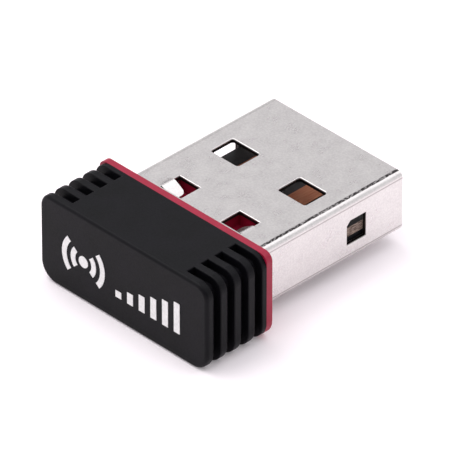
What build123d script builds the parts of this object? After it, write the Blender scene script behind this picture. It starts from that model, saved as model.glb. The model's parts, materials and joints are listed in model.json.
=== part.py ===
"""Nano USB wifi adapter: a USB-A plug, a crimson carrier and a short ribbed cap.

Millimetres. The origin is on the plug's axis, in the face of the collar that stops against the port.
+Y runs along the plug to its tip, +Z is up (the side with the rear windows), +X is to the right.
"""

import os

from build123d import *

touch = 0.001              # an edge this near a plane counts as lying in it

# ---- plug shell ------------------------------------------------------------------------------
plug_width = 12.0
plug_height = 4.5
plug_reach = 13.3          # stop face to tip
sheet = 0.3                # sheet metal thickness
bend_radius = 0.45         # outside of the folds
shell_tail = 1.2           # length of shell behind the stop face
tip_chamfer = 0.08
rollover = 0.06            # rounding that punching leaves on the outside of a window's edge

latch_window_setback = 5.16    # tip to the near edge of the latch windows
latch_window_width = 2.5
latch_window_length = 2.0
latch_window_x = 3.05
window_corner = 0.2

tab_window_inner_x = 1.8
tab_window_outer_x = 3.65
tab_window_setback = 10.5      # tip to the near edge of the tab windows
tab_window_length = 1.7
tab_inner_x = 2.6
tab_drop = 0.6
tab_setback = 11.0             # tip to the near edge of the tabs
tab_corner = 0.35
tab_hinge = 0.3                # window's outer edge to the line where the tab starts to bend
tab_bend = 0.35                # hinge line to the meeting of the two straight runs of the bend
tab_root = 0.1                 # overlap of a tab and the sheet that it grows from
tab_rear_gap = 0.1             # slit between a tab and the rear edge of its window

side_hole_setback = 3.35       # tip to the near edge of the side holes
side_hole_length = 1.7
left_hole_length = 2.25        # the left side's hole runs further back
side_hole_low = 1.05
side_hole_high = 0.75
side_hole_corner = 0.3

seam_gap = 0.08
seam_lock_half = 0.7           # half width of each dovetail lock at its wide end
seam_lock_neck = 0.45
seam_lock_reach = 0.9          # how far a lock reaches across the seam
seam_lock_setbacks = (3.0, 9.2)

# ---- grip: cap and collar --------------------------------------------------------------------
grip_width = 15.2
grip_top = 3.23
grip_bottom = 3.32
cap_top_radius = 1.0
collar_top_radius = 0.6
grip_bottom_radius = 1.35
grip_length = 5.75             # stop face to the end of the cap
collar_thickness = 0.5
end_radius = 0.25
end_wall = 1.0
least_radius = 0.1

groove_count = 4
groove_pitch = 1.21
groove_width = 0.64
groove_depth = 0.6
mouth_share = 0.45         # share of a groove's depth within which its edges count as outside
groove_inner_x = 5.2
rim_width = 0.6                # rib at the cap's end
rib_edge = 0.08

wing_half_width = 6.55         # side walls of the carrier inside the cap
wing_half_height = 1.6
bulkhead_thickness = 0.95
barb_height = 0.18
barb_setback = 0.25            # bulkhead's rear face to the barbs
barb_root = 0.1
barb_length = 0.35
barb_half_width = 0.9

print_thickness = 0.03
print_stroke = 0.42
print_height = 2.3
print_centre_z = -0.25
arc_radii = (0.95, 1.75)
arc_half_angle = 42
dot_radius = 0.42
dot_x = -3.6
bar_count = 6
bar_pitch = 1.06
bar_width = 0.52
bar_first_x = -0.4
bar_first_height = 0.5

# ---- circuit board and what it carries --------------------------------------------------------
board_thickness = 0.7
board_top = 0.0
board_setback = 0.6            # tip to the front edge of the board

pad_thickness = 0.04
data_pad_x = 1.22
data_pad_width = 1.5
power_pad_x = 3.5
power_pad_width = 1.3
power_pad_setback = 1.1
data_pad_setback = 2.1
pad_rear_setback = 9.7
pad_corner = 0.15

solder_gap = 0.03              # solder under the parts on the board
block_setback = 9.9            # tip to the front face of the carrier's block
rail_inner_x = 4.7

support_clearance = 0.8        # support's front edge behind the board's front edge
support_length = 8.0
support_side = 0.9
support_front_bar = 1.0
support_rear_bar = 0.5
support_chamfer = 0.3

chip_side = 5.0
chip_height = 0.8
chip_x = -1.35
chip_setback = 6.05
chip_pad_side = 3.2
terminals_per_side = 9
terminal_pitch = 0.5
terminal_width = 0.26
terminal_length = 0.4
chip_corner = 0.1
dimple_radius = 0.25
dimple_inset = 0.7
dimple_depth = 0.06

crystal_width = 2.5
crystal_length = 3.2
crystal_base_height = 0.35
crystal_lid_height = 0.3
crystal_lid_inset = 0.15
crystal_corner = 0.2
crystal_lid_corner = 0.3
crystal_lid_edge = 0.08
crystal_offset = 1.45          # crystal's middle in front of the chip's

inductor_length = 2.5
inductor_width = 1.9
inductor_height = 1.0
inductor_end = 0.4
column_gap = 0.55              # chip to the column of parts beside it
inductor_gap = 0.5             # crystal to inductor

small_length = 1.0             # small chip capacitors and resistors
small_width = 0.5
small_height = 0.4
small_end = 0.22
bulk_length = 1.6              # larger chip capacitors
bulk_width = 0.8
bulk_height = 0.8
bulk_end = 0.32
body_share = 0.94              # a chip part's body, as a share of its end caps' section
bypass_offsets = (-2.1, -0.7, 0.7, 2.1)
channel_gap = 0.4              # block's front face to the first row in the channel behind it
bulk_pitch = 1.3
bulk_x = 2.6
resistor_pitch = 1.0
matching_xs = (1.2, 2.6, 4.0)
matching_gap = 0.6             # bulkhead to the matching parts' middle

trace_width = 0.35
trace_gap = 0.35
trace_turns = 7
antenna_margin = 0.25          # copper to the bulkhead and to the board's rear edge
antenna_side_margin = 0.6
joint_leg = 0.6                # solder joints between the board and the shell
joint_gap = 0.1

# ---- clearances -------------------------------------------------------------------------------
shell_fit = 0.05               # shell to the plastic around and inside it
board_fit = 0.02               # board to the slot that holds it
board_side_gap = 0.05          # board to the shell's side walls
board_tail_gap = 0.25          # board to the cap's end wall
cap_fit = 0.08                 # carrier to the inside of the cap
bulkhead_gap = 0.05            # tail of the shell to the carrier's bulkhead
pocket_gap = 0.15              # carrier's pockets around the shell's tabs
pocket_end_gap = 0.1
pocket_depth_gap = 0.3

# ---- derived ----------------------------------------------------------------------------------
inner_width = plug_width - 2 * sheet
inner_height = plug_height - 2 * sheet
shell_floor = -inner_height / 2
board_bottom = board_top - board_thickness
board_front = plug_reach - board_setback
board_width = inner_width - 2 * board_side_gap
board_tail = grip_length - end_wall - board_tail_gap
board_length = board_front + board_tail
block_front = plug_reach - block_setback
bulkhead_front = -(shell_tail + bulkhead_gap)
cavity_back = -(grip_length - end_wall)
bulkhead_back = bulkhead_front - bulkhead_thickness
latch_window_y = plug_reach - latch_window_setback - latch_window_length / 2
tab_window_front = plug_reach - tab_window_setback
tab_window_back = tab_window_front - tab_window_length
tab_front = plug_reach - tab_setback
tab_back = tab_window_back + tab_rear_gap
side_hole_front = plug_reach - side_hole_setback
first_groove = -(grip_length - rim_width)
support_front = board_front - support_clearance
support_back = support_front - support_length
support_top = board_bottom - board_fit
underside = board_bottom - solder_gap

os.makedirs("parts", exist_ok=True)


def across(y):
    """Plane square to the plug's axis at y; local x is +X, local y is +Z, and it faces -Y."""
    return Plane.XZ.offset(-y)


def grip_outline(top_radius, inset=0.0, mode=Mode.ADD):
    """Outline of the grip, drawn in by inset, in the sketch that is open."""
    half = grip_width / 2 - inset
    low = -(grip_bottom - inset)
    high = grip_top - inset
    low_radius = max(grip_bottom_radius - inset, least_radius)
    high_radius = max(top_radius - inset, least_radius)
    with BuildLine() as outline:
        FilletPolyline(
            (-half, low),
            (half, low),
            (half, high),
            (-half, high),
            radius=[low_radius, low_radius, high_radius, high_radius],
            close=True,
        )
    make_face(outline.edges(), mode=mode)


def hidden_outline(grow):
    """Section of the carrier inside the cap: the shell's box with a wing on each side."""
    RectangleRounded(plug_width + 2 * grow, plug_height + 2 * grow, bend_radius + grow)
    Rectangle(2 * (wing_half_width + grow), 2 * (wing_half_height + grow))


def save(part, name):
    """Label the part and write it."""
    part.label = name
    export_step(part, f"parts/{name}.step")


# ---- plug shell -------------------------------------------------------------------------------
def on_punched_edge(edge):
    """True for an outside edge of a window or a side hole, but not where a tab grows from it."""
    middle = edge.center()
    along = tab_window_back - touch < middle.Y < side_hole_front + touch
    flat_half_width = plug_width / 2 - bend_radius
    flat_half_height = plug_height / 2 - bend_radius
    flat = abs(abs(middle.Z) - plug_height / 2) < touch and abs(middle.X) < flat_half_width - touch
    upright = abs(abs(middle.X) - plug_width / 2) < touch and abs(middle.Z) < flat_half_height - touch
    at_tab = abs(abs(middle.X) - tab_window_outer_x) < touch and middle.Y < tab_window_front
    return along and (flat or upright) and not at_tab


with BuildPart() as plug_shell:
    with BuildSketch(across(plug_reach)):
        RectangleRounded(plug_width, plug_height, bend_radius)
    extrude(amount=plug_reach + shell_tail)
    tip_face = plug_shell.faces().sort_by(Axis.Y)[-1]
    chamfer(tip_face.outer_wire().edges(), tip_chamfer)
    with BuildSketch(across(plug_reach)):
        RectangleRounded(inner_width, inner_height, bend_radius - sheet)
    extrude(amount=plug_reach + shell_tail, mode=Mode.SUBTRACT)
    # latch windows through the top and the bottom sheet
    with BuildSketch():
        with Locations((-latch_window_x, latch_window_y), (latch_window_x, latch_window_y)):
            RectangleRounded(latch_window_width, latch_window_length, window_corner)
    extrude(amount=plug_height, both=True, mode=Mode.SUBTRACT)
    # tab windows through the top sheet
    tab_window_x = (tab_window_inner_x + tab_window_outer_x) / 2
    tab_window_y = (tab_window_front + tab_window_back) / 2
    with BuildSketch():
        with Locations((-tab_window_x, tab_window_y), (tab_window_x, tab_window_y)):
            Rectangle(tab_window_outer_x - tab_window_inner_x, tab_window_length)
    extrude(amount=plug_height, mode=Mode.SUBTRACT)
    # a side hole through each side wall
    for side, length in ((-1, left_hole_length), (1, side_hole_length)):
        hole_back = side_hole_front - length
        with BuildSketch(Plane.YZ):
            with BuildLine():
                Polyline(
                    (side_hole_front, -side_hole_low),
                    (side_hole_front, side_hole_high),
                    (hole_back + side_hole_corner, side_hole_high),
                    (hole_back, side_hole_high - side_hole_corner),
                    (hole_back, -side_hole_low),
                    close=True,
                )
            make_face()
        extrude(amount=side * plug_width, mode=Mode.SUBTRACT)
    # punching rounds the windows' and holes' edges on the outside
    fillet(plug_shell.edges().filter_by(on_punched_edge), rollover)
    # the sheet is slit as far as each tab's hinge line
    with BuildSketch():
        for side in (-1, 1):
            with Locations((side * (tab_window_outer_x + tab_hinge / 2), (tab_front + tab_back) / 2)):
                Rectangle(tab_hinge, tab_front - tab_back)
    extrude(amount=plug_height, mode=Mode.SUBTRACT)
    # dovetailed seam along the middle of the underside
    seam_points = [(0, plug_reach + 1)]
    for side, setback in zip((1, -1), seam_lock_setbacks):
        lock_y = plug_reach - setback
        reach = side * seam_lock_reach
        seam_points += [
            (0, lock_y + seam_lock_neck),
            (reach, lock_y + seam_lock_half),
            (reach, lock_y - seam_lock_half),
            (0, lock_y - seam_lock_neck),
        ]
    seam_points.append((0, -shell_tail - 1))
    with BuildSketch(Plane.XY.offset(-plug_height)):
        with BuildLine():
            Polyline(*seam_points)
        trace(line_width=seam_gap)
    extrude(amount=plug_height, mode=Mode.SUBTRACT)


tab_hinge_x = tab_window_outer_x + tab_hinge
tab_bend_x = tab_hinge_x - tab_bend
tab_run = tab_bend_x - tab_inner_x
tab_slope = (tab_drop**2 + tab_run**2) ** 0.5
tab_lean_x = sheet * tab_drop / tab_slope      # the free end's thickness, along X and Z
tab_lean_z = sheet * tab_run / tab_slope
half_turn = tab_drop / (tab_slope + tab_run)   # tangent of half the tab's angle
tab_outer_radius = tab_bend / half_turn
tab_inner_radius = tab_outer_radius - sheet


def tab_profile(side):
    """Section of one bent-in tab: the sheet leaves the hinge line, bends and slopes inwards."""
    top = plug_height / 2
    inner_bend_x = tab_bend_x + sheet * half_turn
    with BuildLine() as section:
        Polyline(
            (side * (tab_hinge_x + tab_root), top),
            (side * tab_bend_x, top),
            (side * tab_inner_x, top - tab_drop),
            (side * (tab_inner_x + tab_lean_x), top - tab_drop - tab_lean_z),
            (side * inner_bend_x, top - sheet),
            (side * (tab_hinge_x + tab_root), top - sheet),
            close=True,
        )
    make_face(section.edges())


for side in (-1, 1):
    with BuildPart() as tab:
        with BuildSketch(across(tab_front)) as section:
            tab_profile(side)
            outside = (side * tab_bend_x, plug_height / 2, 0)
            fillet(section.vertices().sort_by_distance(outside)[0], tab_outer_radius)
            inside = (side * tab_bend_x, plug_height / 2 - sheet, 0)
            fillet(section.vertices().sort_by_distance(inside)[0], tab_inner_radius)
        extrude(amount=tab_front - tab_back)
        # the free corner nearest the tip is rounded
        free_corner = (
            side * (tab_inner_x + tab_lean_x / 2),
            tab_front,
            plug_height / 2 - tab_drop - tab_lean_z / 2,
        )
        fillet(tab.edges().sort_by_distance(free_corner)[0], tab_corner)
    with plug_shell:
        add(tab.part)

save(plug_shell.part, "plug_shell")

# ---- carrier: collar, bulkhead in the cap, block and rails in the shell -----------------------
pocket_floor = plug_height / 2 - tab_drop - sheet - pocket_depth_gap
with BuildPart() as collar_carrier:
    with BuildSketch(across(0)):
        grip_outline(collar_top_radius)
    extrude(amount=collar_thickness)
    with BuildSketch(across(-collar_thickness)):
        hidden_outline(0)
    extrude(amount=-collar_thickness - bulkhead_back)
    with BuildSketch(across(0)):
        RectangleRounded(
            plug_width + 2 * shell_fit, plug_height + 2 * shell_fit, bend_radius + shell_fit
        )
    extrude(amount=-bulkhead_front, mode=Mode.SUBTRACT)
    with BuildSketch(across(block_front)):
        RectangleRounded(
            inner_width - 2 * shell_fit, inner_height - 2 * shell_fit, bend_radius - sheet
        )
    extrude(amount=block_front - bulkhead_front)
    # slot for the board, and the open channel under it
    slot_middle = (board_top + board_bottom) / 2
    with BuildSketch(across(block_front)):
        with Locations((0, slot_middle)):
            Rectangle(board_width + 4 * board_fit, board_thickness + 2 * board_fit)
        with Locations((0, shell_floor)):
            Rectangle(2 * rail_inner_x, 2 * (board_bottom - shell_floor))
    extrude(amount=block_front - bulkhead_back, mode=Mode.SUBTRACT)
    # pockets under the shell's tabs
    pocket_width = tab_window_outer_x - tab_window_inner_x + 2 * pocket_gap
    with BuildSketch(Plane.XY.offset(pocket_floor)):
        with Locations((-tab_window_x, tab_window_y), (tab_window_x, tab_window_y)):
            Rectangle(pocket_width, tab_window_length + 2 * pocket_end_gap)
    extrude(amount=plug_height, mode=Mode.SUBTRACT)
    # barbs that lock in the cap
    barb_centre = bulkhead_back + barb_setback + barb_length / 2
    with BuildSketch(Plane.XY.offset(-barb_half_width)):
        for side in (-1, 1):
            with BuildLine():
                Polyline(
                    (side * (wing_half_width - barb_root), barb_centre + barb_length / 2),
                    (side * (wing_half_width + barb_height), barb_centre + barb_length / 2),
                    (side * wing_half_width, barb_centre - barb_length / 2),
                    (side * (wing_half_width - barb_root), barb_centre - barb_length / 2),
                    close=True,
                )
            make_face()
    extrude(amount=2 * barb_half_width)

save(collar_carrier.part, "collar_carrier")

# ---- cap --------------------------------------------------------------------------------------
groove_walls = [
    first_groove + index * groove_pitch + side
    for index in range(groove_count)
    for side in (0, groove_width)
]


def on_groove_mouth(edge):
    """True for an edge where a groove opens on the cap's outside."""
    middle = edge.center()
    skin = groove_depth * mouth_share
    outside = (
        abs(middle.X) > grip_width / 2 - skin
        or middle.Z > grip_top - skin
        or middle.Z < -grip_bottom + skin
    )
    on_wall = any(abs(middle.Y - wall) < touch for wall in groove_walls)
    on_inner_end = abs(abs(middle.X) - groove_inner_x) < touch
    return outside and (on_wall or on_inner_end)


with BuildPart() as rear_cap:
    with BuildSketch(across(-collar_thickness)):
        grip_outline(cap_top_radius)
    extrude(amount=grip_length - collar_thickness)
    end_face = rear_cap.faces().sort_by(Axis.Y)[0]
    fillet(end_face.outer_wire().edges(), end_radius)
    # grip grooves: over the top, down the side and under the bottom, each with a square inner end
    for index in range(groove_count):
        groove_start = first_groove + index * groove_pitch
        with BuildSketch(across(groove_start + groove_width)):
            for side in (-1, 1):
                with Locations((side * (groove_inner_x + grip_width / 2), 0)):
                    Rectangle(grip_width, 2 * grip_width)
            grip_outline(cap_top_radius, groove_depth, mode=Mode.SUBTRACT)
        extrude(amount=groove_width, mode=Mode.SUBTRACT)
    fillet(rear_cap.edges().filter_by(on_groove_mouth), rib_edge)
    # inside
    with BuildSketch(across(-collar_thickness)):
        hidden_outline(cap_fit)
    extrude(amount=-collar_thickness - cavity_back, mode=Mode.SUBTRACT)
    with BuildSketch(Plane.XY.offset(-barb_half_width - cap_fit)):
        with Locations((0, barb_centre)):
            Rectangle(2 * (wing_half_width + barb_height + cap_fit), barb_length + 2 * cap_fit)
    extrude(amount=2 * (barb_half_width + cap_fit), mode=Mode.SUBTRACT)

save(rear_cap.part, "rear_cap")

# ---- white printed mark on the cap's end: a sending dot between arcs, and rising bars ---------
with BuildPart() as cap_mark:
    with BuildSketch(across(-grip_length)):
        with Locations((dot_x, print_centre_z)):
            Circle(dot_radius)
        for radius in arc_radii:
            for middle in (0, 180):
                with BuildLine():
                    CenterArc(
                        (dot_x, print_centre_z), radius, middle - arc_half_angle, 2 * arc_half_angle
                    )
                trace(line_width=print_stroke)
        for index in range(bar_count):
            grown = index / (bar_count - 1) * (print_height - bar_first_height)
            height = bar_first_height + grown
            bar_middle = print_centre_z - print_height / 2 + height / 2
            with Locations((bar_first_x + index * bar_pitch, bar_middle)):
                Rectangle(bar_width, height)
    extrude(amount=print_thickness)

save(cap_mark.part, "cap_mark")

# ---- circuit board and contacts ---------------------------------------------------------------
with BuildPart() as circuit_board:
    with BuildSketch(Plane.XY.offset(board_bottom)):
        with Locations((0, board_front - board_length / 2)):
            Rectangle(board_width, board_length)
    extrude(amount=board_thickness)

save(circuit_board.part, "circuit_board")

contact_layout = (
    ("vbus_contact", -power_pad_x, power_pad_width, power_pad_setback),
    ("data_minus_contact", -data_pad_x, data_pad_width, data_pad_setback),
    ("data_plus_contact", data_pad_x, data_pad_width, data_pad_setback),
    ("ground_contact", power_pad_x, power_pad_width, power_pad_setback),
)
for name, x, width, setback in contact_layout:
    with BuildPart() as contact:
        with BuildSketch(Plane.XY.offset(board_top)):
            with Locations((x, plug_reach - (setback + pad_rear_setback) / 2)):
                RectangleRounded(width, pad_rear_setback - setback, pad_corner)
        extrude(amount=pad_thickness)
    save(contact.part, name)

# ---- black support under the front of the board -----------------------------------------------
with BuildPart() as board_support:
    support_width = inner_width - 2 * shell_fit
    support_floor = shell_floor + shell_fit
    with BuildSketch(Plane.XY.offset(support_floor)):
        with Locations((0, support_front - support_length / 2)):
            Rectangle(support_width, support_length)
        window_front = support_front - support_front_bar
        window_back = support_back + support_rear_bar
        with Locations((0, (window_front + window_back) / 2)):
            Rectangle(support_width - 2 * support_side, window_front - window_back, mode=Mode.SUBTRACT)
    extrude(amount=support_top - support_floor)
    upper_front = board_support.edges().filter_by(Axis.X).group_by(Axis.Y)[-1].sort_by(Axis.Z)[0]
    chamfer(upper_front, support_chamfer)

save(board_support.part, "board_support")

# ---- wifi chip under the board ------------------------------------------------------------------
chip_y = plug_reach - chip_setback
with BuildPart() as wifi_chip:
    with BuildSketch(Plane.XY.offset(underside - chip_height)):
        with Locations((chip_x, chip_y)):
            RectangleRounded(chip_side, chip_side, chip_corner)
    extrude(amount=chip_height)
    # pin-one dimple
    dimple_offset = chip_side / 2 - dimple_inset
    with BuildSketch(Plane.XY.offset(underside - chip_height)):
        with Locations((chip_x - dimple_offset, chip_y + dimple_offset)):
            Circle(dimple_radius)
    extrude(amount=dimple_depth, mode=Mode.SUBTRACT)

save(wifi_chip.part, "wifi_chip")

with BuildPart() as chip_terminals:
    with BuildSketch(Plane.XY.offset(underside)):
        edge = chip_side / 2 - terminal_length / 2
        with Locations((chip_x, chip_y)):
            for angle in (0, 90, 180, 270):
                turned = Location((0, 0, 0), (0, 0, angle))
                with Locations(turned):
                    with Locations((0, edge)):
                        with GridLocations(terminal_pitch, 1, terminals_per_side, 1):
                            Rectangle(terminal_width, terminal_length)
    extrude(amount=solder_gap)

save(chip_terminals.part, "chip_terminals")

with BuildPart() as chip_heat_pad:
    with BuildSketch(Plane.XY.offset(underside)):
        with Locations((chip_x, chip_y)):
            Rectangle(chip_pad_side, chip_pad_side)
    extrude(amount=solder_gap)

save(chip_heat_pad.part, "chip_heat_pad")

# ---- crystal and inductor beside the chip -------------------------------------------------------
side_column_x = chip_x + chip_side / 2 + column_gap + crystal_width / 2
crystal_y = chip_y + crystal_offset
inductor_y = crystal_y - crystal_length / 2 - inductor_gap - inductor_width / 2

with BuildPart() as crystal_base:
    with BuildSketch(Plane.XY.offset(board_bottom - crystal_base_height)):
        with Locations((side_column_x, crystal_y)):
            RectangleRounded(crystal_width, crystal_length, crystal_corner)
    extrude(amount=crystal_base_height)

save(crystal_base.part, "crystal_base")

with BuildPart() as crystal_lid:
    lid_top = board_bottom - crystal_base_height
    with BuildSketch(Plane.XY.offset(lid_top - crystal_lid_height)):
        with Locations((side_column_x, crystal_y)):
            RectangleRounded(
                crystal_width - 2 * crystal_lid_inset,
                crystal_length - 2 * crystal_lid_inset,
                crystal_lid_corner,
            )
    extrude(amount=crystal_lid_height)
    chamfer(crystal_lid.faces().sort_by(Axis.Z)[0].edges(), crystal_lid_edge)

save(crystal_lid.part, "crystal_lid")


def chip_bodies(spots, length, width, height, end):
    """Middles of chip parts that hang under the board, long side along X, at spots."""
    with Locations(*[(x, y, underside - height / 2) for x, y in spots]):
        Box(length - 2 * end, width * body_share, height * body_share)


def chip_ends(spots, length, width, height, end):
    """Metal end caps of the chip parts at spots, soldered against the board."""
    half = length / 2 - end / 2
    for x, y in spots:
        with Locations((x - half, y, board_bottom - height / 2), (x + half, y, board_bottom - height / 2)):
            Box(end, width, height)


inductor_spot = [(side_column_x, inductor_y)]
top_row_y = chip_y + chip_side / 2 + column_gap
bypass_spots = [(chip_x + offset, top_row_y) for offset in bypass_offsets]
first_resistor_y = block_front - channel_gap - small_width
resistor_spots = [(0, first_resistor_y - row * resistor_pitch) for row in range(3)]
first_bulk_y = block_front - channel_gap - bulk_width
bulk_spots = [(x, first_bulk_y - row * bulk_pitch) for x in (-bulk_x, bulk_x) for row in range(2)]
matching_spots = [(x, bulkhead_back - matching_gap) for x in matching_xs]

chip_groups = (
    ("power_inductor", "inductor_terminals", inductor_spot,
     (inductor_length, inductor_width, inductor_height, inductor_end)),
    ("bypass_capacitors", "bypass_capacitor_ends", bypass_spots,
     (small_length, small_width, small_height, small_end)),
    ("resistors", "resistor_ends", resistor_spots,
     (small_length, small_width, small_height, small_end)),
    ("bulk_capacitors", "bulk_capacitor_ends", bulk_spots,
     (bulk_length, bulk_width, bulk_height, bulk_end)),
    ("antenna_matching_parts", "antenna_matching_ends", matching_spots,
     (small_length, small_width, small_height, small_end)),
)
for body_name, ends_name, spots, sizes in chip_groups:
    with BuildPart() as bodies:
        chip_bodies(spots, *sizes)
    save(bodies.part, body_name)
    with BuildPart() as ends:
        chip_ends(spots, *sizes)
    save(ends.part, ends_name)

# ---- printed antenna on the board, in the cap ---------------------------------------------------
antenna_front = bulkhead_back - antenna_margin
antenna_back = -board_tail + antenna_margin
antenna_points = [(-board_width / 2 + antenna_side_margin, antenna_front)]
turn_step = trace_width + trace_gap
for turn in range(trace_turns):
    x = antenna_points[-1][0]
    near, far = (antenna_front, antenna_back) if turn % 2 == 0 else (antenna_back, antenna_front)
    antenna_points += [(x, far), (x + turn_step, far)]
antenna_points += [
    (antenna_points[-1][0], antenna_front),
    (board_width / 2 - antenna_side_margin, antenna_front),
]

with BuildPart() as printed_antenna:
    with BuildSketch(Plane.XY.offset(board_top)):
        with BuildLine():
            Polyline(*antenna_points)
        trace(line_width=trace_width)
    extrude(amount=pad_thickness)

save(printed_antenna.part, "printed_antenna")

# ---- solder joints between the board's underside and the shell ----------------------------------
joint_length = support_back - block_front - 2 * joint_gap
with BuildPart() as shell_ground_joints:
    with BuildSketch(across(support_back - joint_gap)):
        for side in (-1, 1):
            with BuildLine():
                Polyline(
                    (side * inner_width / 2, board_bottom),
                    (side * (inner_width / 2 - joint_leg), board_bottom),
                    (side * inner_width / 2, board_bottom - joint_leg),
                    close=True,
                )
            make_face()
    extrude(amount=joint_length)

save(shell_ground_joints.part, "shell_ground_joints")
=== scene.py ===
"""Looks for the nano USB wifi adapter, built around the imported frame.

Metres, +Y to the plug's tip, +Z up.
"""

import json
import math

import bpy
import numpy as np
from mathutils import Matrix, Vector


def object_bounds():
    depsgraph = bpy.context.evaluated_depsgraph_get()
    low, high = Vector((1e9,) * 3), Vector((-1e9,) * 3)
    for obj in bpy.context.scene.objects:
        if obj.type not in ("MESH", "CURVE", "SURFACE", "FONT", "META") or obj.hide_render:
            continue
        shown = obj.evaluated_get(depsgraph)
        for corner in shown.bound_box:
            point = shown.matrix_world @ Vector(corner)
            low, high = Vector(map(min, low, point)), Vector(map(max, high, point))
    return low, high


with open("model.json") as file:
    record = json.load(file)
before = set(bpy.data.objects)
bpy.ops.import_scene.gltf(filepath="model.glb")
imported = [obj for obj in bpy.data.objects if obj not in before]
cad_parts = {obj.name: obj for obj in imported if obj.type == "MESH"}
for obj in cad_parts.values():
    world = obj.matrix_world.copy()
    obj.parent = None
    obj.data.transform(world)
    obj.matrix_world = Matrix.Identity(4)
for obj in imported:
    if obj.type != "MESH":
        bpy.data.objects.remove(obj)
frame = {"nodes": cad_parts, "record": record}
cad_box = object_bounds()
nodes = frame["nodes"]

MM = 0.001

# the plug shell's outside and its sheet
PLUG_TOP = 2.25 * MM
PLUG_SIDE = 6 * MM
PLUG_TIP = 13.3 * MM
SHEET = 0.3 * MM


# ---- colours and nodes ------------------------------------------------------------------------
def linear(hex_colour):
    """An sRGB hex colour as linear RGBA."""
    parts = np.array([int(hex_colour[i:i + 2], 16) for i in (1, 3, 5)]) / 255.0
    low = parts / 12.92
    high = ((parts + 0.055) / 1.055) ** 2.4
    return tuple(np.where(parts <= 0.04045, low, high)) + (1.0,)


def add_node(tree, kind, inputs=(), output=0, **settings):
    """Adds a shader node and returns one of its outputs.

    inputs gives its sockets, in their order or as a dict, each a constant or another node's output;
    settings gives its properties.
    """
    node = tree.nodes.new("ShaderNode" + kind)
    for name, value in settings.items():
        setattr(node, name, value)
    for socket, value in inputs.items() if isinstance(inputs, dict) else enumerate(inputs):
        if isinstance(value, bpy.types.NodeSocket):
            tree.links.new(value, node.inputs[socket])
        else:
            node.inputs[socket].default_value = value
    return node.outputs[output]


def new_material(name, colour, **shader):
    """A material with one Principled shader: returns it, its tree, its shader's sockets and coordinates."""
    material = bpy.data.materials.new(name)
    material.use_nodes = True
    tree = material.node_tree
    surface = tree.nodes["Principled BSDF"].inputs
    surface["Base Color"].default_value = linear(colour)
    for socket, value in shader.items():
        surface[socket.replace("_", " ")].default_value = value
    return material, tree, surface, add_node(tree, "TexCoord", output="Object")


def lumps(tree, coords, size_mm, detail=2.0, stretch=(1, 1, 1)):
    """A noise pattern whose lumps are about size_mm across, stretched by the three factors."""
    spread = add_node(tree, "Mapping", {"Vector": coords, "Scale": tuple(1 / s for s in stretch)})
    scale = 1 / (size_mm * MM)
    return add_node(
        tree, "TexNoise", {"Vector": spread, "Scale": scale, "Detail": detail, "Roughness": 0.55}, "Fac"
    )


def shaded(tree, surface, pattern, dark, light):
    """The base colour runs from dark to light over the middle of pattern."""
    share = add_node(tree, "MapRange", (pattern, 0.3, 0.7, 0, 1))
    colour = add_node(tree, "Mix", {0: share, 6: linear(dark), 7: linear(light)}, 2, data_type="RGBA")
    tree.links.new(colour, surface["Base Color"])
    return colour


def roughened(tree, surface, pattern, smooth, rough):
    """The roughness runs from smooth to rough over the middle of pattern."""
    roughness = add_node(tree, "MapRange", (pattern, 0.3, 0.7, smooth, rough))
    tree.links.new(roughness, surface["Roughness"])
    return roughness


def embossed(tree, surface, pattern, depth_mm, strength):
    """pattern stands depth_mm proud of the surface, in its shading."""
    relief = add_node(tree, "Bump", {"Height": pattern, "Distance": depth_mm * MM, "Strength": strength})
    tree.links.new(relief, surface["Normal"])


def within(tree, value, low, high, soft):
    """1 where value lies between low and high, fading to 0 over soft at both ends."""
    rise = add_node(tree, "MapRange", (value, low - soft, low, 0, 1))
    fall = add_node(tree, "MapRange", (value, high, high + soft, 1, 0))
    return add_node(tree, "Math", (rise, fall), operation="MULTIPLY")


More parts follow.
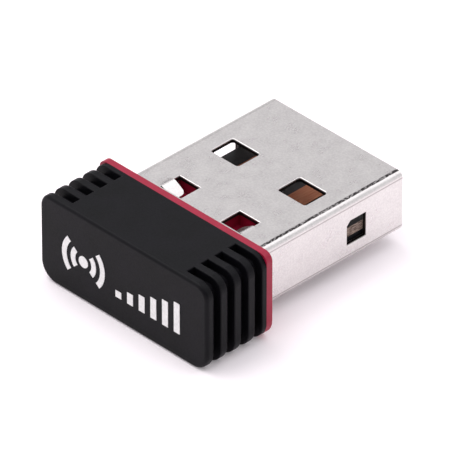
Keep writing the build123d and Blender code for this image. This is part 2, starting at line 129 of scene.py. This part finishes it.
# ---- materials --------------------------------------------------------------------------------
def nickel_plated_steel():
    """Steel strip, rolled, stamped and nickel plated.

    Satin and grey, with faint cloudy patches, a fine crystalline mottle and rolling lines along the
    plug. A broken dark line along each fold, heavier on the +X side, is a painted reflection of the
    dark studio in the bend, and a grey line where each fold ends on the side is painted shade.
    Punched edges are bright for a third of the thickness and torn and dull below that, where they are
    also painted dark as shade.
    """
    material, tree, surface, coords = new_material(
        "nickel_plated_stamped_steel", "#dcd9d8", Metallic=1.0, Roughness=0.3
    )
    place = add_node(tree, "SeparateXYZ", (coords,))
    along, up = (place.node.outputs[axis] for axis in "YZ")
    across = add_node(tree, "Math", (place,), operation="ABSOLUTE")
    height = add_node(tree, "Math", (up,), operation="ABSOLUTE")

    clouds = lumps(tree, coords, 0.8, 4.0, (1, 1.5, 1))
    mottle = lumps(tree, coords, 0.13)
    colour = shaded(tree, surface, clouds, "#cdc9c8", "#d5d2d0")
    share = add_node(tree, "MapRange", (mottle, 0.4, 0.65, 0, 0.4))
    colour = add_node(tree, "Mix", {0: share, 6: colour, 7: linear("#eae7e5")}, 2, data_type="RGBA")

    # painted reflection: a dark line along each fold, standing in for the dark studio seen in the bend;
    # broken, and heavier towards +X
    fold = within(tree, across, PLUG_SIDE - 0.52 * MM, PLUG_SIDE - 0.35 * MM, 0.06 * MM)
    fold_line_breakup = lumps(tree, coords, 0.12, 4.0, (1, 1.8, 1))
    broken = add_node(tree, "MapRange", (fold_line_breakup, 0.40, 0.52, 0.35, 1))
    right = add_node(tree, "MapRange", (place, 0, 1 * MM, 0.2, 1))
    uneven_fold_reflection = add_node(tree, "Math", (broken, right), operation="MULTIPLY")
    painted_fold_reflection = add_node(tree, "Math", (fold, uneven_fold_reflection), operation="MULTIPLY")
    colour = add_node(tree, "Mix", {0: painted_fold_reflection, 6: colour, 7: linear("#3f3b3c")}, 2, data_type="RGBA")

    # painted shade: a grey line where each fold ends on the side, at the lower edge of the bend's highlight
    line = within(tree, height, PLUG_TOP - 0.45 * MM, PLUG_TOP - 0.41 * MM, 0.05 * MM)
    on_side = add_node(tree, "MapRange", (across, PLUG_SIDE - 0.2 * MM, PLUG_SIDE - 0.1 * MM, 0, 1))
    painted_fold_end_shade = add_node(tree, "Math", (line, on_side), operation="MULTIPLY")
    colour = add_node(tree, "Mix", {0: painted_fold_end_shade, 6: colour, 7: linear("#a9a4a3")}, 2, data_type="RGBA")

    # lower part of the punched edges, torn and dull, and darkened further as painted shade: in the windows,
    # faces that look along the sheet
    turned = add_node(tree, "SeparateXYZ", (add_node(tree, "NewGeometry", output="Normal"),))
    level = add_node(tree, "Math", (turned.node.outputs["Z"],), operation="ABSOLUTE")
    upright = add_node(tree, "MapRange", (level, 0.2, 0.4, 1, 0))
    inner_sheet = within(tree, height, PLUG_TOP - SHEET, PLUG_TOP - 0.38 * SHEET, 0.02 * MM)
    inboard = add_node(tree, "MapRange", (across, 4.3 * MM, 4.4 * MM, 1, 0))
    window_edge = add_node(tree, "Math", (upright, inner_sheet), operation="MULTIPLY")
    window_edge = add_node(tree, "Math", (window_edge, inboard), operation="MULTIPLY")

    # and in the side holes, faces that look along the side
    inner_wall = within(tree, across, PLUG_SIDE - 0.95 * SHEET, PLUG_SIDE - 0.38 * SHEET, 0.02 * MM)
    sideways = add_node(tree, "Math", (turned,), operation="ABSOLUTE")
    facing_along = add_node(tree, "MapRange", (sideways, 0.2, 0.4, 1, 0))
    low_down = add_node(tree, "MapRange", (height, 1.3 * MM, 1.4 * MM, 1, 0))
    hole_edge = add_node(tree, "Math", (inner_wall, facing_along), operation="MULTIPLY")
    hole_edge = add_node(tree, "Math", (hole_edge, low_down), operation="MULTIPLY")

    # the tip's edge was plated after it was cut, so it is bright all through
    short_of_tip = add_node(tree, "MapRange", (along, PLUG_TIP - 0.2 * MM, PLUG_TIP - 0.1 * MM, 1, 0))
    torn_and_shaded_edge = add_node(tree, "Math", (window_edge, hole_edge), operation="MAXIMUM")
    torn_and_shaded_edge = add_node(tree, "Math", (torn_and_shaded_edge, short_of_tip), operation="MULTIPLY")
    # the near-black edge colour is partly the torn steel and partly painted shade
    colour = add_node(tree, "Mix", {0: torn_and_shaded_edge, 6: colour, 7: linear("#2c2826")}, 2, data_type="RGBA")
    tree.links.new(colour, surface["Base Color"])

    satin = roughened(tree, surface, clouds, 0.26, 0.34)
    roughness = add_node(tree, "Mix", {0: torn_and_shaded_edge, 2: satin, 3: 0.7}, data_type="FLOAT")
    tree.links.new(roughness, surface["Roughness"])
    embossed(tree, surface, lumps(tree, coords, 0.06, 1.0, (1, 14, 1)), 0.0008, 0.5)
    return material


def moulded_black_abs():
    """Black ABS from a spark-eroded mould: matte and slightly blue, with a grain of a tenth of a mm."""
    material, tree, surface, coords = new_material(
        "moulded_black_abs", "#101013", Roughness=0.45, IOR=1.53, Specular_IOR_Level=0.1
    )
    grain = lumps(tree, coords, 0.11)
    shaded(tree, surface, lumps(tree, coords, 1.8), "#08080b", "#0d0c11")
    roughened(tree, surface, grain, 0.38, 0.52)
    embossed(tree, surface, grain, 0.006, 0.6)
    return material


def moulded_crimson_abs():
    """Crimson ABS, slightly glossy, with a faint flow pattern and a fine moulded grain."""
    material, tree, surface, coords = new_material(
        "moulded_crimson_abs", "#98122a", Roughness=0.42, IOR=1.53, Specular_IOR_Level=0.3
    )
    grain = lumps(tree, coords, 0.12)
    shaded(tree, surface, lumps(tree, coords, 1.5, 2.0, (1, 2, 1)), "#8f102e", "#9b1637")
    roughened(tree, surface, grain, 0.36, 0.48)
    embossed(tree, surface, grain, 0.004, 0.5)
    return material


def pad_printed_ink():
    """White pad-printing ink: flat, with slightly uneven cover."""
    material, tree, surface, coords = new_material("pad_printed_white_ink", "#e6e5e4", Roughness=0.6)
    cover = lumps(tree, coords, 0.15, 3.0)
    shaded(tree, surface, cover, "#dcdbda", "#eeedec")
    roughened(tree, surface, cover, 0.52, 0.66)
    return material


def masked_laminate():
    """Black solder mask over woven glass laminate: the weave just shows, and the sawn edge is brown."""
    material, tree, surface, coords = new_material(
        "black_solder_mask_on_glass_laminate", "#08080a", Roughness=0.45, Specular_IOR_Level=0.3
    )
    turned = add_node(tree, "SeparateXYZ", (add_node(tree, "NewGeometry", output="Normal"),), "Z")
    level = add_node(tree, "Math", (turned,), operation="ABSOLUTE")
    edge = add_node(tree, "MapRange", (level, 0.3, 0.7, 1, 0))
    fibres = add_node(
        tree, "MapRange", (lumps(tree, coords, 0.16, 3.0, (2.5, 2.5, 0.6)), 0.35, 0.65, 0, 1)
    )
    sawn = add_node(
        tree, "Mix", {0: fibres, 6: linear("#4a3a33"), 7: linear("#a18f83")}, 2, data_type="RGBA"
    )
    colour = add_node(tree, "Mix", {0: edge, 6: linear("#08080a"), 7: sawn}, 2, data_type="RGBA")
    tree.links.new(colour, surface["Base Color"])
    roughness = add_node(tree, "Mix", {0: edge, 2: 0.45, 3: 0.8}, data_type="FLOAT")
    tree.links.new(roughness, surface["Roughness"])
    weave = add_node(tree, "TexChecker", {"Vector": coords, "Scale": 1 / (0.4 * MM)}, "Fac")
    embossed(tree, surface, weave, 0.002, 0.4)
    return material


def gold_flash():
    """Thin gold flash over copper on the contacts, scuffed along the plug; its warm brown colour is painted
    shade, the gold as seen in the dark inside the plug.
    """
    # the brown base colours below are painted shade: the gold as it looks in the plug's shadow
    material, tree, surface, coords = new_material(
        "gold_flash_on_copper", "#a86e50", Metallic=1.0, Roughness=0.35
    )
    scuffs = lumps(tree, coords, 0.08, 2.0, (1, 12, 1))
    shaded(tree, surface, scuffs, "#9c6145", "#b57c5c")
    roughened(tree, surface, scuffs, 0.3, 0.5)
    return material


def etched_copper():
    """Copper trace seen through the mask: dull and brownish."""
    material, tree, surface, coords = new_material(
        "etched_copper_trace", "#a8693f", Metallic=1.0, Roughness=0.45
    )
    roughened(tree, surface, lumps(tree, coords, 0.3), 0.36, 0.54)
    return material


def tinned_metal():
    """Tin plate and reflowed solder: bright grey with soft lumps."""
    material, tree, surface, coords = new_material(
        "reflowed_tin_solder", "#bfc0c2", Metallic=1.0, Roughness=0.32
    )
    pools = lumps(tree, coords, 0.2)
    roughened(tree, surface, pools, 0.25, 0.42)
    embossed(tree, surface, pools, 0.01, 0.4)
    return material


def plain_finish(name, dark, light, roughness, size_mm):
    """A fired or moulded part body: two close shades and an even grain."""
    material, tree, surface, coords = new_material(name, dark, Roughness=roughness)
    grain = lumps(tree, coords, size_mm)
    shaded(tree, surface, grain, dark, light)
    roughened(tree, surface, grain, roughness - 0.06, roughness + 0.06)
    embossed(tree, surface, grain, 0.004, 0.4)
    return material


finishes = {
    "shell_steel": nickel_plated_steel(),
    "black_plastic": moulded_black_abs(),
    "crimson_plastic": moulded_crimson_abs(),
    "white_ink": pad_printed_ink(),
    "board_laminate": masked_laminate(),
    "contact_gold": gold_flash(),
    "copper_trace": etched_copper(),
    "tin_solder": tinned_metal(),
    # epoxy moulding compound: dark and even, with a fine filler grain
    "chip_resin": plain_finish("moulded_epoxy_resin", "#17171a", "#1f1f22", 0.55, 0.08),
    # barium titanate: tan, with the faint mottle of fired ceramic
    "capacitor_ceramic": plain_finish("fired_tan_ceramic", "#8c6a47", "#a07d56", 0.45, 0.12),
    # lead glass over a thick-film element: near black and fairly smooth
    "resistor_black": plain_finish("glazed_black_ceramic", "#101013", "#18181b", 0.3, 0.1),
    # pressed ferrite powder: dark grey and dull
    "ferrite": plain_finish("pressed_ferrite", "#29292b", "#343436", 0.6, 0.1),
    # dark alumina package: warm grey-black and matte
    "crystal_ceramic": plain_finish("dark_alumina", "#2f2a27", "#3a3431", 0.5, 0.1),
}

for part in frame["record"]["subparts"]:
    mesh = nodes[part["node"]].data
    mesh.materials.clear()
    mesh.materials.append(finishes[part["material_slot"]])


# ---- stage ------------------------------------------------------------------------------------
FLOOR_HALF = 3.0
FLOOR_DROP = 0.01 * MM      # floor's distance below the lowest point

# the studio's strengths
BACKDROP_LIGHT = 1.1        # near the horizon
WALL_LIGHT = 0.86           # half way up
RING_LIGHT = 2.35           # high, all round
OVERHEAD_LIGHT = 1.1        # straight up
GAP_LIGHT = 0.25            # dark gap behind, on the left
BOX_LIGHT = 1.6             # soft box behind, in the middle
FLOOR_GLOW = 0.12

CAMERA_AZIMUTH = math.radians(45.68)
CAMERA_ELEVATION = math.radians(35.04)
CAMERA_DISTANCE = 0.6162
CAMERA_TARGET = Vector((-0.00055, 0.00410, -0.00095))
CAMERA_LENS = 761.3


def make_floor():
    """A flat white sheet under the object, far wider than the view, lit a little from below."""
    floor_height = cad_box[0][2] - FLOOR_DROP
    sides = ((-1, -1), (1, -1), (1, 1), (-1, 1))
    corners = [(x * FLOOR_HALF, y * FLOOR_HALF, floor_height) for x, y in sides]
    mesh = bpy.data.meshes.new("floor")
    mesh.from_pydata(corners, [], [(0, 1, 2, 3)])
    material, tree, surface, coords = new_material("white_paper_sweep", "#f9f3f6", Roughness=0.9)
    surface["Emission Color"].default_value = linear("#fff8fc")
    surface["Emission Strength"].default_value = FLOOR_GLOW
    mesh.materials.append(material)
    floor = bpy.data.objects.new("floor", mesh)
    bpy.context.collection.objects.link(floor)


def make_key(place, size, watts, colour):
    """A square soft light at place, turned to the plug's root."""
    data = bpy.data.lights.new("key", "AREA")
    data.shape = "SQUARE"
    data.size = size
    data.energy = watts
    data.color = linear(colour)[:3]
    light = bpy.data.objects.new("key", data)
    bpy.context.collection.objects.link(light)
    light.location = place
    aim = Vector((0, 4 * MM, 0)) - Vector(place)
    light.rotation_euler = aim.to_track_quat("-Z", "Y").to_euler()


def make_studio():
    """A white studio by direction, as strengths over the unit vector (x, y, z).

    Upwards it goes from BACKDROP_LIGHT to WALL_LIGHT, RING_LIGHT and OVERHEAD_LIGHT. Behind (+y), a
    narrow dark gap stands left of the middle and a soft box at the middle. Where x - 0.8 y grows,
    to the right and near right, the strength falls to a third.
    """
    world = bpy.data.worlds.new("studio")
    world.use_nodes = True
    tree = world.node_tree
    direction = add_node(tree, "TexCoord", output="Generated")
    x, y, z = add_node(tree, "SeparateXYZ", (direction,)).node.outputs
    strength = add_node(tree, "MapRange", (z, 0.25, 0.5, BACKDROP_LIGHT, WALL_LIGHT))
    for start, end, level in ((0.70, 0.77, RING_LIGHT), (0.93, 0.97, OVERHEAD_LIGHT)):
        share = add_node(tree, "MapRange", (z, start, end, 0, 1))
        strength = add_node(tree, "Mix", {0: share, 2: strength, 3: level}, data_type="FLOAT")

    behind = add_node(tree, "MapRange", (y, 0.25, 0.4, 0, 1))
    gap = within(tree, x, -0.46, -0.3, 0.06)
    gap = add_node(tree, "Math", (gap, behind), operation="MULTIPLY")
    strength = add_node(tree, "Mix", {0: gap, 2: strength, 3: GAP_LIGHT}, data_type="FLOAT")
    box = within(tree, x, 0.0, 0.32, 0.12)
    box = add_node(tree, "Math", (box, behind), operation="MULTIPLY")
    high = add_node(tree, "MapRange", (z, 0.6, 0.7, 0, 1))
    box = add_node(tree, "Math", (box, high), operation="MULTIPLY")
    strength = add_node(tree, "Mix", {0: box, 2: strength, 3: BOX_LIGHT}, data_type="FLOAT")

    rightness = add_node(tree, "Math", (y, -0.8, x), operation="MULTIPLY_ADD")
    falloff = add_node(tree, "MapRange", (rightness, 0.35, 0.9, 1, 0.3))
    light = add_node(tree, "Math", (strength, falloff), operation="MULTIPLY")
    background = tree.nodes["Background"].inputs
    tree.links.new(light, background["Strength"])
    background["Color"].default_value = linear("#fdfcff")
    bpy.context.scene.world = world


def make_camera():
    """A long lens looking down at the cap's end and right side."""
    back = Vector((
        math.sin(CAMERA_AZIMUTH) * math.cos(CAMERA_ELEVATION),
        -math.cos(CAMERA_AZIMUTH) * math.cos(CAMERA_ELEVATION),
        math.sin(CAMERA_ELEVATION),
    ))
    data = bpy.data.cameras.new("camera")
    data.sensor_width = 36
    data.lens = CAMERA_LENS
    camera = bpy.data.objects.new("camera", data)
    bpy.context.collection.objects.link(camera)
    camera.location = CAMERA_TARGET + back * CAMERA_DISTANCE
    camera.rotation_euler = (-back).to_track_quat("-Z", "Y").to_euler()
    bpy.context.scene.camera = camera


make_floor()
make_studio()
make_key((-0.24, -0.07, 0.47), 0.36, 0.7, "#fffdfb")
make_camera()
bpy.context.scene.view_settings.view_transform = "Standard"
